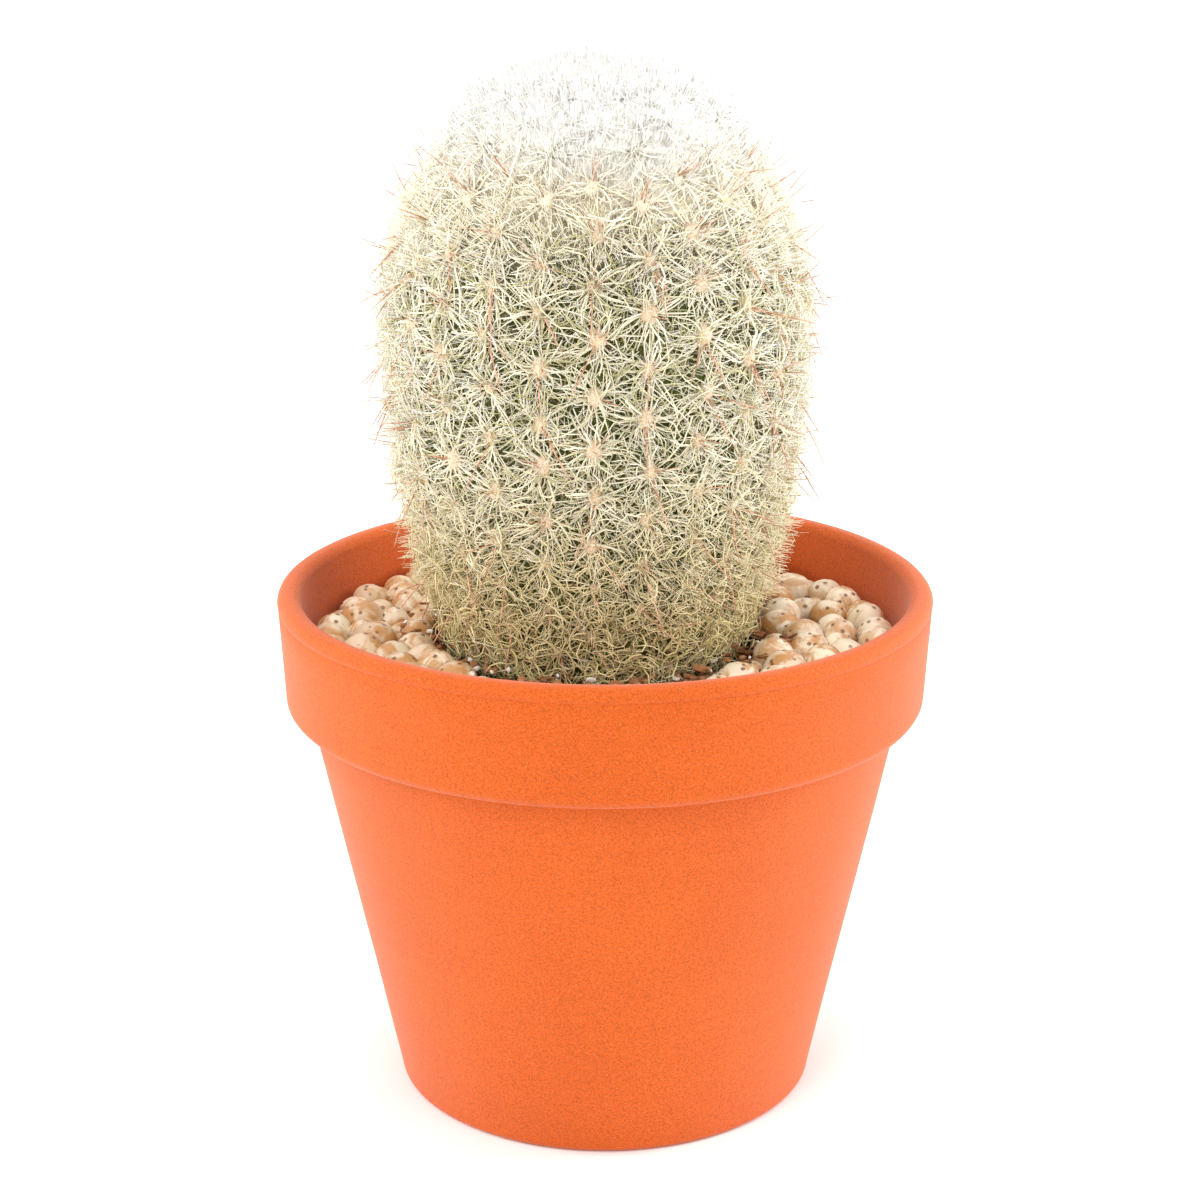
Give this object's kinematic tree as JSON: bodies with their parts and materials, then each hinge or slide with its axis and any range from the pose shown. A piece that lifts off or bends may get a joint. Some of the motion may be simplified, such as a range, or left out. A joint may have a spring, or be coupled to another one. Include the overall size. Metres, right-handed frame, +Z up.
{
  "type": "potted peruvian old lady cactus",
  "caption": "Young woolly columnar cactus with ribs and fine spines, in a collared terracotta pot with soil and a top dressing of round clay beads.",
  "frame": {"origin": "middle of the pot's base, on the surface that it stands on", "axes": "+Z up along the pot's axis, -Y towards the side that faces the viewer"},
  "size_m": [0.11, 0.11, 0.1761],
  "materials": {
    "terracotta": "unglazed, matt, smooth turned clay with faint turning marks",
    "soil": "dark, crumbly, with bark fibres and white grit",
    "clay_beads": "matt cream clay with tan stains and small brown pits",
    "woolly_cactus": "green ribbed skin under cream and white wool, fine pale spines and longer red-brown ones"
  },
  "bodies": {
    "root": {"pot": "terracotta", "soil": "soil", "beads": "clay_beads", "cactus": "woolly_cactus"}
  },
  "joints": []
}
